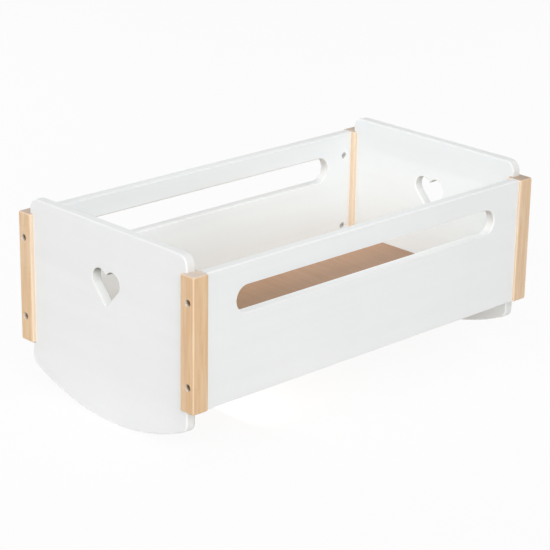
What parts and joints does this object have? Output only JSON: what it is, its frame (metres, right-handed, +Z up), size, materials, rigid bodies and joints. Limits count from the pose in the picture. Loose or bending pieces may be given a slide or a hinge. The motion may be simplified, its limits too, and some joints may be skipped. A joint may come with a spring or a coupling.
{
  "type": "doll cradle",
  "caption": "Wooden rocking doll cradle: white end panels with heart cut-outs and rocker feet, slotted side panels, beech corner posts and a base board, bolted together.",
  "frame": {"origin": "on the floor, midway between the lowest lines of the two rockers", "axes": "+X along the cradle, from one rocker end panel to the other; +Y across it, towards the back side panel; +Z up"},
  "size_m": [0.525, 0.2896, 0.222],
  "materials": {
    "white_lacquer": "satin white lacquer",
    "beech": "clear matt lacquer",
    "base_board": "matt, unpainted board",
    "zinc_steel": "zinc plated"
  },
  "bodies": {
    "root": {"base_board": "base_board", "end_panel_left": "white_lacquer", "end_panel_right": "white_lacquer", "side_panel_front": "white_lacquer", "side_panel_back": "white_lacquer", "post_front_left": "beech", "post_front_right": "beech", "post_back_left": "beech", "post_back_right": "beech", "bolt_front_left_lower": "zinc_steel", "bolt_front_left_upper": "zinc_steel", "bolt_front_right_lower": "zinc_steel", "bolt_front_right_upper": "zinc_steel", "bolt_back_left_lower": "zinc_steel", "bolt_back_left_upper": "zinc_steel", "bolt_back_right_lower": "zinc_steel", "bolt_back_right_upper": "zinc_steel", "barrel_nut_front_left_lower": "zinc_steel", "barrel_nut_front_left_upper": "zinc_steel", "barrel_nut_front_right_lower": "zinc_steel", "barrel_nut_front_right_upper": "zinc_steel", "barrel_nut_back_left_lower": "zinc_steel", "barrel_nut_back_left_upper": "zinc_steel", "barrel_nut_back_right_lower": "zinc_steel", "barrel_nut_back_right_upper": "zinc_steel"}
  },
  "joints": []
}
